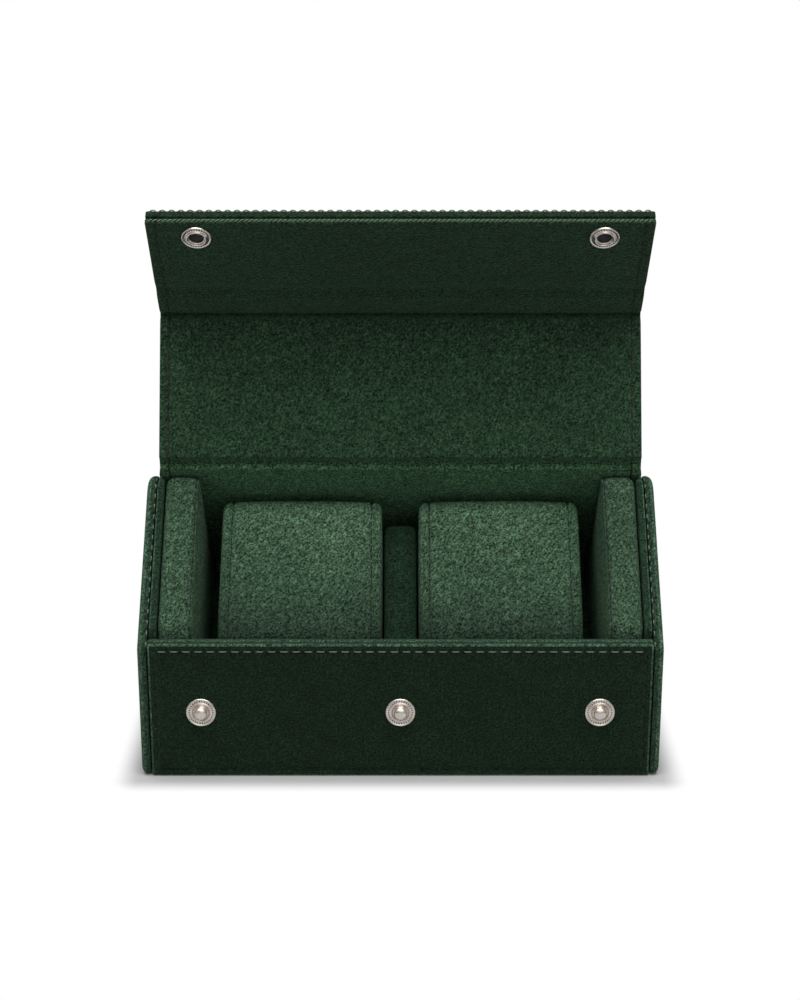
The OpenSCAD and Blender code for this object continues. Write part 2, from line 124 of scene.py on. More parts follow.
def pale_floor(white_from):
    """White board that keeps the case's contact shadow and is plain white a finger's width away"""
    material, tree, away = new_material("pale_floor")
    none = (0, 0, 0)
    for operation, by in (("ABSOLUTE", none), ("SUBTRACT", case_half), ("MAXIMUM", none)):
        away = add(tree, "ShaderNodeVectorMath", {0: away, 1: by}, operation=operation)[0]
    reach = add(tree, "ShaderNodeVectorMath", {0: away}, operation="LENGTH")["Value"]
    fade = add(tree, "ShaderNodeMapRange", {"Value": reach, "From Max": white_from},
               interpolation_type="SMOOTHSTEP")["Result"]
    share = maths(tree, "MULTIPLY", fade, add(tree, "ShaderNodeLightPath")["Is Camera Ray"])
    board = add(tree, "ShaderNodeBsdfDiffuse", {"Color": (0.45, 0.45, 0.45, 1)})[0]
    white = add(tree, "ShaderNodeEmission")[0]
    mixed = add(tree, "ShaderNodeMixShader", {0: share, 1: board, 2: white})[0]
    add(tree, "ShaderNodeOutputMaterial", {"Surface": mixed})
    return material


def studio_world(strength):
    """White to the camera, a plain grey light on the case, and in metal a bright sky over a dark
    horizon"""
    world = bpy.data.worlds.new("studio")
    world.use_nodes = True
    tree = world.node_tree
    tree.nodes.clear()
    way = add(tree, "ShaderNodeSeparateXYZ", {0: add(tree, "ShaderNodeTexCoord")["Generated"]})
    rays = add(tree, "ShaderNodeLightPath")
    level = maths(tree, "MAXIMUM", rays["Is Camera Ray"], spread(tree, way["Z"], 0.05, 0.75, 0.10, 0.95))
    seen = maths(tree, "MAXIMUM", rays["Is Camera Ray"], rays["Is Glossy Ray"])
    seen = maths(tree, "MAXIMUM", seen, rays["Is Transmission Ray"])
    light = add(tree, "ShaderNodeBackground", {"Color": (1, 1, 1, 1), "Strength": strength})[0]
    shown = add(tree, "ShaderNodeBackground", {"Color": level})[0]
    mixed = add(tree, "ShaderNodeMixShader", {0: seen, 1: light, 2: shown})[0]
    add(tree, "ShaderNodeOutputWorld", {"Surface": mixed})
    bpy.context.scene.world = world


def soft_lamp(name, location, target, size, watts):
    lamp_data = bpy.data.lights.new(name, "AREA")
    lamp_data.shape = "RECTANGLE"
    lamp_data.size, lamp_data.size_y = size
    lamp_data.energy = watts
    lamp = bpy.data.objects.new(name, lamp_data)
    lamp.location = location
    lamp.rotation_euler = (Vector(target) - Vector(location)).to_track_quat("-Z", "Y").to_euler()
    bpy.context.scene.collection.objects.link(lamp)


case_half = (cad_box[1][0], cad_box[1][1], 0)
floor_mesh = bpy.data.meshes.new("floor")
floor_mesh.from_pydata([(-8, -8, 0), (8, -8, 0), (8, 8, 0), (-8, 8, 0)], [], [(0, 1, 2, 3)])
floor = bpy.data.objects.new("floor", floor_mesh)
floor_mesh.materials.append(pale_floor(white_from=11 * mm))
bpy.context.scene.collection.objects.link(floor)
studio_world(0.40)
case_middle = (0, 0, 0.07)
soft_lamp("overhead", (0, -0.15, 1.1), case_middle, (1.2, 0.9), 16)
soft_lamp("front_fill", (0.2, -1.3, 0.6), case_middle, (1.0, 0.8), 2)

# ---- Front wall and floor ---------------------------------------------
# Greyboard plates covered in suede cloth, glued face to face. The front wall's cover is turned
# over its top edge, sewn down there with thick light thread and at both sides with dark thread.


def cloud(tree, place, scale, detail=2, rough=0.5):
    """Noise at a place, from 0 to 1"""
    return add(tree, "ShaderNodeTexNoise", {
        "Vector": place, "Scale": scale, "Detail": detail, "Roughness": rough})["Fac"]


def coated(material, colour, tone, inputs, height=None, strength=1, distance=0):
    """The material with a surface of a colour times a tone, and bumps of a height"""
    tree = material.node_tree
    tint = add(tree, "ShaderNodeVectorMath", {0: colour, "Scale": tone}, operation="SCALE")["Vector"]
    inputs = {"Base Color": tint, **inputs}
    if height:
        inputs["Normal"] = add(tree, "ShaderNodeBump", {
            "Strength": strength, "Distance": distance, "Height": height})["Normal"]
    surface = add(tree, "ShaderNodeBsdfPrincipled", inputs)["BSDF"]
    add(tree, "ShaderNodeOutputMaterial", {"Surface": surface})
    return material


def suede(name, colour, nap=0.95, light_patches=0.12, sheen=0.12, fade=()):
    """Suede cloth: mottled nap, fine specks of fibre and a faint diagonal grain. fade is painted light
    and shade, how bright it is at heights: (low, high, brightness low, high) each"""
    material, tree, place = new_material(name)
    diagonal = (0, math.radians(-35.26), math.radians(45))
    along = add(tree, "ShaderNodeMapping", {"Vector": place, "Rotation": diagonal, "Scale": (3, 1, 1)},
                vector_type="TEXTURE")[0]

    def varied(field, low, high, by):
        return spread(tree, field, low, high, 1 - by, 1 + by)

    def times(a, b):
        return maths(tree, "MULTIPLY", a, b)

    patches = varied(cloud(tree, place, 55, 3), 0.3, 0.7, light_patches)
    tufts = varied(cloud(tree, place, 420, 3), 0.3, 0.7, nap * 0.3)
    specks = varied(cloud(tree, place, 1350, 3, 0.7), 0.38, 0.62, nap)
    grain = varied(cloud(tree, along, 1400), 0.35, 0.65, nap * 0.5)
    tone = times(times(patches, tufts), times(specks, grain))
    height = add(tree, "ShaderNodeSeparateXYZ", {0: place})["Z"]
    # Painted light and shade: the tone grows brighter or darker between each pair of heights
    for heights in fade:
        tone = times(tone, spread(tree, height, *heights))
    return coated(material, colour, tone, {
        "Roughness": 0.95, "Specular IOR Level": 0.12, "Sheen Weight": sheen, "Sheen Roughness": 0.5,
        "Sheen Tint": (0.36, 0.70, 0.42, 1)}, maths(tree, "ADD", specks, grain), 1, 0.2 * mm)


def plain(name, colour, roughness):
    """Thread and other small matt pieces, with a fine unevenness"""
    material, tree, place = new_material(name)
    tone = spread(tree, cloud(tree, place, 2500), 0, 1, 0.75, 1.25)
    return coated(material, colour, tone, {"Roughness": roughness})


def corners(node):
    """The side-view outline of a CAD prism, as (y, z) points in order round its middle"""
    points = {(round(v.co.y, 6), round(v.co.z, 6)) for v in frame["nodes"][node].data.vertices}
    middle = np.mean(list(points), axis=0)
    ordered = sorted(points, key=lambda p: math.atan2(p[1] - middle[1], p[0] - middle[0]))
    return [Vector(p) for p in ordered]


def make_object(name, mesh, material):
    if not mesh.materials:
        mesh.materials.append(material)
    piece = bpy.data.objects.new(name, mesh)
    bpy.context.scene.collection.objects.link(piece)
    return piece


def lofted(name, loops, material, rim_bands=(), rim_material=None):
    """A closed smooth skin over loops of equally many points, capped at both ends. The bands of
    faces at an edge may have a material of their own"""
    count = len(loops[0])
    points = [p for loop in loops for p in loop]
    faces = []
    for j in range(0, len(points) - count, count):
        for i in range(count):
            k = (i + 1) % count
            faces.append((j + i, j + k, j + count + k, j + count + i))
    faces += [range(count), range(len(points) - count, len(points))]
    mesh = bpy.data.meshes.new(name)
    mesh.from_pydata(points, [], faces)
    shell = bmesh.new()
    shell.from_mesh(mesh)
    bmesh.ops.recalc_face_normals(shell, faces=shell.faces)
    shell.faces.ensure_lookup_table()
    for band in rim_bands:
        for face in shell.faces[band * count:(band + 1) * count]:
            face.material_index = 1
    for edge in [*shell.faces[-1].edges, *shell.faces[-2].edges]:
        edge.smooth = False
    shell.to_mesh(mesh)
    shell.free()
    mesh.shade_smooth()
    piece = make_object(name, mesh, material)
    if rim_material:
        mesh.materials.append(rim_material)
    return piece


def left_of(way):
    return Vector((-way.y, way.x))


def round_loop(outline, radius, inset, arc_steps=5, side_step=None):
    """Points round a convex outline, wound anticlockwise, moved inwards and with round corners of
    one radius or one each. side_step adds points along its sides, as many at any inset"""
    count = len(outline)
    radii = radius if isinstance(radius, list) else [radius] * count
    arcs = []
    for i in range(count):
        away = max(radii[i], inset + 0.02 * mm)
        bend = away - inset
        before, here, after = outline[i - 1], outline[i], outline[(i + 1) % count]
        into, out = (here - before).normalized(), (after - here).normalized()
        first, last = -left_of(into), -left_of(out)
        centre = here - (first + last) * (away / (1 + first.dot(last)))
        shares = [k / arc_steps for k in range(arc_steps + 1)]
        arcs.append([centre + (first * (1 - s) + last * s).normalized() * bend for s in shares])
    points = []
    for i, arc in enumerate(arcs):
        points += arc
        if side_step:
            there = arcs[(i + 1) % count][0]
            extra = int((outline[(i + 1) % count] - outline[i]).length / side_step)
            points += [arc[-1].lerp(there, k / (extra + 1)) for k in range(1, extra + 1)]
    return points


def rounding(radius, steps):
    """A quarter round, as (inwards along the first face, inwards along the second) from its end on
    the first face"""
    angles = [math.radians(90 * k / steps) for k in range(steps + 1)]
    return [(radius * (1 - math.cos(a)), radius * (1 - math.sin(a))) for a in angles]


def covered_board(name, outline, depth, place, material, edge=0.7 * mm, corner=1.2 * mm, dips=(),
                  back=None, rim=None):
    """A board in cloth: its outline between two depths, with round edges, which may have a rim
    material, a painted highlight on the rounding of its first face's edge. dips are (distance from
    the edge, depth) of the stitch lines pressed into its first face, and back is the second face's
    own edge radius"""
    back = back or edge
    low, high = depth
    inwards = 1 if high > low else -1
    pressed = ((1.6, 0), (0.8, 0.35), (0.35, 0.85), (0, 1), (-0.35, 0.85), (-0.8, 0.35), (-1.4, 0))
    profile = [(away + beside * mm, deep * share) for away, deep in dips for beside, share in pressed]
    profile.append((edge + 0.5 * mm, 0))
    first = len(profile) + 1
    profile += [(inset, deep) for deep, inset in rounding(edge, 6)]
    thick = abs(high - low)
    profile += [(inset, thick - deep) for deep, inset in reversed(rounding(back, 6))]
    profile.append((back + 0.5 * mm, thick))
    loops = [[place(u, v, low + inwards * w) for u, v in round_loop(outline, corner, inset)]
             for inset, w in profile]
    return lofted(name, loops, material, range(first, first + 4) if rim else (), rim)


def from_front(u, v, w):
    """Places an outline in the front view at a depth"""
    return Vector((u, w, v))


def box_outline(low, high, u, v):
    """The rectangle that a CAD box shows along two of its axes"""
    return [Vector(p) for p in ((low[u], low[v]), (high[u], low[v]), (high[u], high[v]), (low[u], high[v]))]


def node_tree(name, *inputs):
    """A geometry node tree and its named inputs, each a (name, kind of socket, value)"""
    tree = bpy.data.node_groups.new(name, "GeometryNodeTree")
    for label, kind, value in inputs:
        socket = tree.interface.new_socket(label, in_out="INPUT", socket_type="NodeSocket" + kind)
        if value is not None:
            socket.default_value = value
    return tree, tree.nodes.new("NodeGroupInput").outputs


def ended(tree, instances, material):
    """The tree with its last steps: its instances made real, and their material"""
    tree.interface.new_socket("Pieces", in_out="OUTPUT", socket_type="NodeSocketGeometry")
    real = add(tree, "GeometryNodeRealizeInstances", {"Geometry": instances})[0]
    finish = add(tree, "GeometryNodeSetMaterial", {"Geometry": real, "Material": material})[0]
    add(tree, "NodeGroupOutput", {"Pieces": finish})
    return tree


def made_by(tree, name, mesh, material, values):
    """The plain mesh that a geometry node tree makes from a mesh"""
    holder = make_object(name + "_holder", mesh, material)
    modifier = holder.modifiers.new(tree.name, "NODES")
    modifier.node_group = tree
    for socket in tree.interface.items_tree:
        if socket.in_out == "INPUT" and socket.name in values:
            modifier[socket.identifier] = values[socket.name]
    evaluated = holder.evaluated_get(bpy.context.evaluated_depsgraph_get())
    made = bpy.data.meshes.new_from_object(evaluated)
    made.name = name
    bpy.data.objects.remove(holder)
    return made


def stitch_tree():
    """Geometry nodes that sew stitches along the edges of a mesh, upright on its 'up' vectors"""
    tree, given = node_tree(
        "stitches", ("Line", "Geometry", None), ("Pitch", "Float", 4 * mm), ("Length", "Float", 3 * mm),
        ("Thickness", "Float", 0.5 * mm), ("Rise", "Float", 0.2 * mm), ("Bow", "Float", 0),
        ("Slant", "Float", 0), ("Thread", "Material", None))

    def times(value, factor):
        return maths(tree, "MULTIPLY", value, factor)

    def vector(x, y, z):
        return add(tree, "ShaderNodeCombineXYZ", {0: x, 1: y, 2: z})[0]

    half, sunk = times(given["Length"], 0.5), times(given["Thickness"], -0.7)
    bow = add(tree, "GeometryNodeCurveQuadraticBezier", {
        "Resolution": 6, "Start": vector(times(half, -1), 0, sunk), "End": vector(half, 0, sunk),
        "Middle": vector(0, times(given["Bow"], 2), times(given["Rise"], 2))})[0]
    ring = add(tree, "GeometryNodeCurvePrimitiveCircle", {
        "Resolution": 6, "Radius": times(given["Thickness"], 0.5)})[0]
    thread = add(tree, "GeometryNodeCurveToMesh", {"Curve": bow, "Profile Curve": ring, "Fill Caps": True})[0]
    stitch = add(tree, "GeometryNodeTransform", {
        "Geometry": thread, "Rotation": vector(0, 0, given["Slant"])})[0]

    line = add(tree, "GeometryNodeMeshToCurve", {"Mesh": given["Line"]})[0]
    length = add(tree, "GeometryNodeSplineLength")["Length"]
    gaps = maths(tree, "ROUND", maths(tree, "DIVIDE", length, given["Pitch"]))
    points = add(tree, "GeometryNodeCurveToPoints", {"Curve": line, "Count": maths(tree, "ADD", gaps, 1)},
                 mode="COUNT")
    along = add(tree, "FunctionNodeAlignRotationToVector", {"Vector": points["Tangent"]}, axis="X")[0]
    up = add(tree, "GeometryNodeInputNamedAttribute", {"Name": "up"}, data_type="FLOAT_VECTOR")["Attribute"]
    upright = add(tree, "FunctionNodeAlignRotationToVector", {"Rotation": along, "Vector": up},
                  axis="Z", pivot_axis="X")[0]
    sewn = add(tree, "GeometryNodeInstanceOnPoints", {
        "Points": points["Points"], "Instance": stitch, "Rotation": upright})[0]
    return ended(tree, sewn, given["Thread"])


stitches = stitch_tree()


def shortened(line, cut):
    """A line of (point, up) with a length cut from both its ends"""
    line = [(Vector(point), up) for point, up in line]
    for _ in range(2):
        left = cut
        while len(line) > 2 and (line[1][0] - line[0][0]).length <= left:
            left -= (line[1][0] - line[0][0]).length
            line = line[1:]
        way = (line[1][0] - line[0][0]).normalized()
        line = ([(line[0][0] + way * left, line[0][1])] + line[1:])[::-1]
    return line


def sewn_lines(name, lines, thread, pitch, length, thickness, rise=0.25 * mm, bow=0.0, slant=0.0):
    """Stitches along lines, each a list of (point, up), as one plain mesh. Half a pitch is left
    free at the ends of a line, so that lines that meet keep their pitch"""
    points, edges, ups = [], [], []
    for line in lines:
        line = shortened(line, pitch / 2)
        edges += [(len(points) + i, len(points) + i + 1) for i in range(len(line) - 1)]
        points += [point for point, _ in line]
        ups += [up for _, up in line]
    mesh = bpy.data.meshes.new(name)
    mesh.from_pydata(points, edges, [])
    attribute = mesh.attributes.new("up", "FLOAT_VECTOR", "POINT")
    attribute.data.foreach_set("vector", [c for up in ups for c in up])
    sewn = made_by(stitches, name, mesh, thread, {
        "Pitch": pitch, "Length": length, "Thickness": thickness, "Rise": rise, "Bow": bow,
        "Slant": slant, "Thread": thread})
    sewn.shade_smooth()
    return make_object(name, sewn, thread)


def dress(piece, body, slot, *nodes):
    """The piece rides on a body and stands for its CAD nodes. Its slot is not used"""
    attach(piece, body)
    if nodes:
        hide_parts(*nodes)


outer_suede = suede("outer_suede", (0.0050, 0.0158, 0.0068))
# The lining inside the case is about half as bright as the same lining on the lid: painted shade of the deep
# interior
inner_suede = suede("inner_suede", (0.0095, 0.0270, 0.0125), sheen=0.2)
# A lighter suede on the rounding of the boards' edges: a painted highlight where the edges catch the light
edge_highlight_suede = suede("edge_highlight_suede", (0.0450, 0.0880, 0.0550), sheen=0.2)
rim_thread = plain("rim_thread", (0.10, 0.15, 0.10), 0.7)
light_thread = plain("light_thread", (0.19, 0.20, 0.14), 0.7)
dark_thread = plain("dark_thread", (0.003, 0.006, 0.004), 0.8)

stitch_pitch = 4.4 * mm
stitch_in = 3.5 * mm
wall_stitch_in = 3.0 * mm
stitch_dip = 0.4 * mm
side_slot = 0.5 * mm

panel_low, panel_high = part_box("front_panel")
front_wall = covered_board(
    "front_wall_cover",
    box_outline(panel_low + Vector((side_slot, 0, 0)), panel_high - Vector((side_slot, 0, 0)), 0, 2),
    (panel_low.y, panel_high.y - 0.15 * mm),
    from_front, outer_suede, edge=1.1 * mm, dips=[(wall_stitch_in, stitch_dip)], rim=edge_highlight_suede)
dress(front_wall, "case", "outer_cover", "front_panel")

low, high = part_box("front_lining")
front_lining = covered_board("front_wall_lining", box_outline(low, high, 0, 2), (low.y, high.y),
                             from_front, inner_suede, edge=0.9 * mm, rim=edge_highlight_suede)
dress(front_lining, "case", "lining", "front_lining")

for node, name, finish, slot in (("bottom_board", "bottom_cover", outer_suede, "outer_cover"),
                                 ("floor_lining", "floor_lining_cloth", inner_suede, "lining")):
    low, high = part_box(node)
    board = covered_board(
        name, box_outline(low, high, 0, 1), (low.z, high.z), lambda u, v, w: Vector((u, v, w)), finish)
    dress(board, "case", slot, node)

stitch_y = panel_low.y + stitch_dip * 0.8
toward_viewer = Vector((0, -1, 0))
seam_half = panel_high.x - side_slot - wall_stitch_in
seam_top, seam_low = panel_high.z - wall_stitch_in, panel_low.z + 2 * mm
seam_corners = [(Vector((x, stitch_y, seam_top)), toward_viewer) for x in (-seam_half, seam_half)]
side_seams = [[(top, up), (Vector((top.x, stitch_y, seam_low)), up)] for top, up in seam_corners]
for name, seams, thread, length, thickness in (
        ("front_wall_stitches", [seam_corners], light_thread, 3.0 * mm, 0.45 * mm),
        ("front_wall_side_stitches", side_seams, dark_thread, 3.3 * mm, 0.65 * mm)):
    dress(sewn_lines(name, seams, thread, stitch_pitch, length, thickness), "case", "outer_cover")

# ---- End walls --------------------------------------------------------
# Each end is a stiff gable-shaped plate in cloth with a second covered layer sewn inside it. The
# two are sewn together over the gable, so a row of light stitches lies in the groove between.

end_suede = suede("end_suede", (0.0210, 0.0450, 0.0260))


def side_span(node):
    """How far an end wall's node reaches from the case's middle, and where it starts"""
    low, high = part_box(node)
    return max(abs(low.x), abs(high.x)), min(abs(low.x), abs(high.x))


def on_side(side):
    """Places an outline in the side view at a distance from the case's middle"""
    return lambda u, v, w: Vector((side * w, u, v))


for side, hand in ((-1, "left"), (1, "right")):
    outside, inside = side_span("end_plate_" + hand)
    plate = covered_board(
        "end_plate_cover_" + hand, corners("end_plate_" + hand), (outside, inside), on_side(side),
        end_suede, edge=2.4 * mm, corner=3 * mm, back=0.7 * mm, rim=edge_highlight_suede)
    dress(plate, "case", "end_cover", "end_plate_" + hand)

    layer_out, layer_in = side_span("end_layer_" + hand)
    layer = covered_board(
        "end_layer_cover_" + hand, corners("end_layer_" + hand), (layer_out - side_slot, layer_in),
        on_side(side), inner_suede, edge=0.9 * mm, corner=1.8 * mm, rim=edge_highlight_suede)
    dress(layer, "case", "lining", "end_layer_" + hand)
    # The row of stitches in the groove between plate and layer, over the gable
    gable = sorted((p for p in corners("end_plate_" + hand) if p.y > 1 * mm), key=lambda p: p.x)
    row = []
    for i, here in enumerate(gable):
        way = gable[min(i + 1, len(gable) - 1)] - gable[max(i - 1, 0)]
        out = left_of(way).normalized()
        row.append((Vector((side * (inside - 0.05 * mm), *(here - out * 0.35 * mm))), (0, *out)))
    rows = sewn_lines("end_wall_stitches_" + hand, [row], rim_thread, 4.2 * mm, 1.5 * mm, 0.45 * mm)
    dress(rows, "case", "end_cover")

# ---- Rear wall and folding lid ----------------------------------------
# One sheet of suede covers the rear wall, its slope and the three lid boards, and a lining sheet
# faces them inside. Where no board stiffens the cloth it is the hinge. Each sheet is made in
# three lengths that meet in the middle of a board, each across one joint.

joints = {joint["name"]: Vector(joint["pos_m"][1:]) for joint in frame["joints"] if joint["type"] == "hinge"}
ridge, fold, eave = joints["lid_hinge"], joints["lid_fold"], joints["flap_fold"]
half_t = 3.0 * mm
lid_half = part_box("lid_main_board")[1].x
wall_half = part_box("rear_panel")[1].x - 0.1 * mm
main_way = (fold - ridge).normalized()
strip_way = (eave - fold).normalized()
flap_end = eave + strip_way * max((p - eave).dot(strip_way) for p in corners("lid_flap_board"))

rear_slope = corners("rear_slope_panel")
slope_way = max((b - a for a, b in zip(rear_slope, rear_slope[1:] + rear_slope[:1])),
                key=lambda edge: edge.length).normalized()
if slope_way.y < 0:
    slope_way.negate()
wall_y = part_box("rear_panel")[1].y - half_t
eave_mid = ridge - slope_way * ((ridge.x - wall_y) / slope_way.x)


def turned(way, angle):
    c, s = math.cos(angle), math.sin(angle)
    return Vector((way.x * c - way.y * s, way.x * s + way.y * c))


def bent_path(knots):
    """Evenly stepped places along a line with round bends: (point, left normal) in the side view.
    knots are (point, bend radius)"""
    stops = []
    for i, (here, radius) in enumerate(knots):
        if 0 < i < len(knots) - 1 and radius:
            into, out = (here - knots[i - 1][0]).normalized(), (knots[i + 1][0] - here).normalized()
            turn = math.atan2(into.x * out.y - into.y * out.x, into.dot(out))
            cut = radius * math.tan(abs(turn) / 2)
            spoke = left_of(into) * radius * (-1 if turn > 0 else 1)
            centre = here - into * cut - spoke
            arcs = max(4, round(abs(turn) * 12))
            stops.append((here - into * (cut + 0.35 * mm), left_of(into)))
            for k in range(arcs + 1):
                angle = turn * k / arcs
                stops.append((centre + turned(spoke, angle), left_of(turned(into, angle))))
            stops.append((here + out * (cut + 0.35 * mm), left_of(out)))
        else:
            way = (knots[min(i + 1, len(knots) - 1)][0] - knots[max(i - 1, 0)][0]).normalized()
            stops.append((here, left_of(way)))
    path = [stops[0]]
    for point, normal in stops[1:]:
        before, old = path[-1]
        gap = (point - before).length
        for k in range(1, max(1, math.ceil(gap / path_step))):
            share = k * path_step / gap if gap > path_step else 1
            if share < 0.999:
                between = (old * (1 - share) + normal * share).normalized()
                path.append((before + (point - before) * share, between))
        path.append((point, normal))
    return path


def cloth_loop(half, low, high, edge, dip_low, dip_high):
    """The section of a covered sheet as (x, offset): round edges, and a stitch line near each side
    pressed into its two faces"""
    seam = half - stitch_in
    pressed = ((1.6, 0), (0.75, 0.35), (0.3, 0.85), (0, 1), (-0.3, 0.85), (-0.75, 0.35), (-1.6, 0))
    places = [(seam + beside * mm, share) for beside, share in pressed]
    places += [(seam * share, 0) for share in (0.8, 0.6, 0.4, 0.2)]
    outer = [(x, low + dip_low * share) for x, share in places]
    inner = [(x, high - dip_high * share) for x, share in places]
    low_arc = [(half - inset, low + deep) for deep, inset in rounding(edge, 4)]
    high_arc = [(half - inset, high - deep) for deep, inset in reversed(rounding(edge, 4))]
    right = list(reversed(outer)) + low_arc + high_arc + inner
    return right + [(0, high)] + [(-x, n) for x, n in reversed(right)] + [(0, low)]


def creases(*places):
    """How deep the inner face is pressed in at a point, for creases of (place, depth, width,
    sharpness)"""
    return lambda point: sum(deep * math.exp(-((point - place).length / wide) ** sharp)
                             for place, deep, wide, sharp in places)


def cloth_sheet(name, path, low, high, material, free, crease=creases()):
    """A covered sheet swept along a path. free says which of its ends show and are round, and
    crease gives how deep a sewn crease is pressed into its inner face at a place"""
    edge, dips = 0.7 * mm, (0.2 * mm, 0.45 * mm)
    round_end = rounding(edge, 5)
    stations = [(point, normal, 0) for point, normal in path]
    if free[0]:
        point, normal = path[0]
        way = -left_of(normal)
        stations = [(point + way * slide, normal, shrink) for slide, shrink in round_end] + [
            s for s in stations if (s[0] - point).length > edge * 1.2]
    if free[1]:
        point, normal = path[-1]
        way = -left_of(normal)
        stations = [s for s in stations if (s[0] - point).length > edge * 1.2] + [
            (point - way * slide, normal, shrink) for slide, shrink in reversed(round_end)]
    middle = (low + high) / 2
    loops = []
    for point, normal, shrink in stations:
        wide = sheet_width(point)
        pressed = crease(point)
        narrow, flat = (wide - shrink) / wide, 1 - 2 * shrink / (high - low)
        loop = []
        for x, n in cloth_loop(wide, low, high, edge, *dips):
            n = middle + (n - middle) * flat - (pressed if n > middle else 0)
            loop.append(Vector((x * narrow, *(point + normal * n))))
        loops.append(loop)
    return lofted(name, loops, material)


def sheet_width(point):
    """Half the cloth's width: the lid's, and a little more once it lies between the end walls"""
    down = (ridge - point).dot(slope_way)
    share = min(max((down - 8 * mm) / (2.5 * mm), 0), 1)
    return lid_half + (wall_half - lid_half) * share


def bend_middle(knot, into, out, radius):
    """Where a round bend's middle lies, inside the corner that it cuts"""
    return knot + (out - into).normalized() * radius * (1 / math.cos(into.angle(out) / 2) - 1)


# Painted light and shade on the lid's lining: below the ridge's height it is 2.6 times as bright, as light on
# the rear slope, and above the fold's height it is darker, as shade on the strip and flap
lid_suede = suede(
    "lid_suede", (0.0195, 0.0480, 0.0225), sheen=0.2,
    fade=((ridge.y - 6 * mm, ridge.y + 2 * mm, 2.6, 1.0), (fold.y - 2 * mm, fold.y + 1 * mm, 1.0, 0.55)))
rear_radius, ridge_radius, fold_radius = 3.6 * mm, 4.0 * mm, 3.3 * mm
crease_depth = 1.9 * mm
fold_middle = bend_middle(fold, main_way, strip_way, fold_radius)
ridge_crease = creases((bend_middle(ridge, slope_way, main_way, ridge_radius), crease_depth, 1.1 * mm, 4))
# The wide hollows let the closed lid lie flat over the end pads and over the front wall's top
fold_crease = creases((fold_middle, crease_depth, 1.9 * mm, 4), (fold_middle, 0.5 * mm, 4 * mm, 2))
wall_touch = 7.5 * mm
eave_hollow = creases((eave - strip_way * wall_touch, 1.0 * mm, 2.6 * mm, 2))
main_middle, strip_middle = (ridge + fold) / 2, (fold + eave) / 2
rear_foot = Vector((wall_y, 0))
lining_foot = Vector((wall_y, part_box("rear_lining")[0].z))
outer_faces = (-half_t, 0.25 * mm)
lining_faces = (0.55 * mm, half_t)
path_step = 1.3 * mm


def lid_length(name, foot, knots, free, crease, covers, linings):
    """One length of the outer cloth and of the lining, with the seams along both sides. It runs
    across the joint between two bodies"""
    outer_path, lining_path = (bent_path([(start, 0)] + knots) for start in foot)
    cover = cloth_sheet(name + "_cover", outer_path, *outer_faces, outer_suede, free)
    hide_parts(*covers)
    lining = cloth_sheet(name + "_lining_cloth", lining_path, *lining_faces, lid_suede, free, crease)
    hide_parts(*linings)
    pieces = [cover, lining]
    for path, offset, sign, thread, face in ((outer_path, outer_faces[0], -1, light_thread, "outer"),
                                             (lining_path, lining_faces[1], 1, dark_thread, "inner")):
        lines = []
        for side in (-1, 1):
            line = []
            for point, normal in path:
                pressed = crease(point) if sign > 0 else 0
                spot = point + normal * (offset - sign * 0.25 * mm - pressed)
                line.append((Vector((side * (sheet_width(point) - stitch_in), *spot)), (0, *(normal * sign))))
            lines.append(line)
        seam = sewn_lines(f"{name}_{face}_stitches", lines, thread, stitch_pitch, 3.4 * mm, 0.6 * mm)
        pieces.append(seam)
    for piece in pieces:
        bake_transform(piece)


lid_length("rear", (rear_foot, lining_foot),
           [(eave_mid, rear_radius), (ridge, ridge_radius), (main_middle, 0)], (True, False), ridge_crease,
           ("rear_panel", "rear_slope_panel", "ridge_roll", "lid_main_board"),
           ("rear_lining", "rear_slope_lining", "lid_main_lining"))
lid_length("main", (main_middle,) * 2,
           [(fold, fold_radius), (strip_middle, 0)], (False, False), fold_crease,
           ("fold_roll", "lid_strip_board"), ("lid_strip_lining",))
lid_length("flap", (strip_middle,) * 2,
           [(eave, 0), (flap_end, 0)], (False, True), eave_hollow,
           ("eave_roll", "lid_flap_board"), ("lid_flap_lining",))

# The flap's free edge: blanket stitch round the cover's edge and a fine whipped edge on the lining
edge_way = Vector((0, *strip_way))
flap_normal = left_of(strip_way)
for name, faces, pitch, length, thickness, bow, slant in (
        ("flap_blanket_stitches", outer_faces, 3.3 * mm, 3.4 * mm, 0.5 * mm, 1.0 * mm, 0.0),
        ("flap_whipped_edge", lining_faces, 1.7 * mm, 1.9 * mm, 0.4 * mm, 0.0, 0.6)):
    spot = flap_end + flap_normal * (sum(faces) / 2 - bow * 0.6)
    row = [(Vector((x, *spot)), edge_way) for x in (-lid_half + 1 * mm, lid_half - 1 * mm)]
    sewn = sewn_lines(name, [row], rim_thread, pitch, length, thickness, 0.3 * mm, bow, slant)
    dress(sewn, "lid_flap", "outer_cover")

# ---- End pads ---------------------------------------------------------
# A thick slab of foam glued to each end wall under a suede cover. The cover is sewn round the
# edge of its inner face, which crowns a little, and fills the end from front wall to rear.

pad_suede = suede("pad_suede", (0.0460, 0.0880, 0.0510), nap=0.85)


coarse_voxel, most_swell, swell_frames = 4 * mm, 0.5 * mm, 20


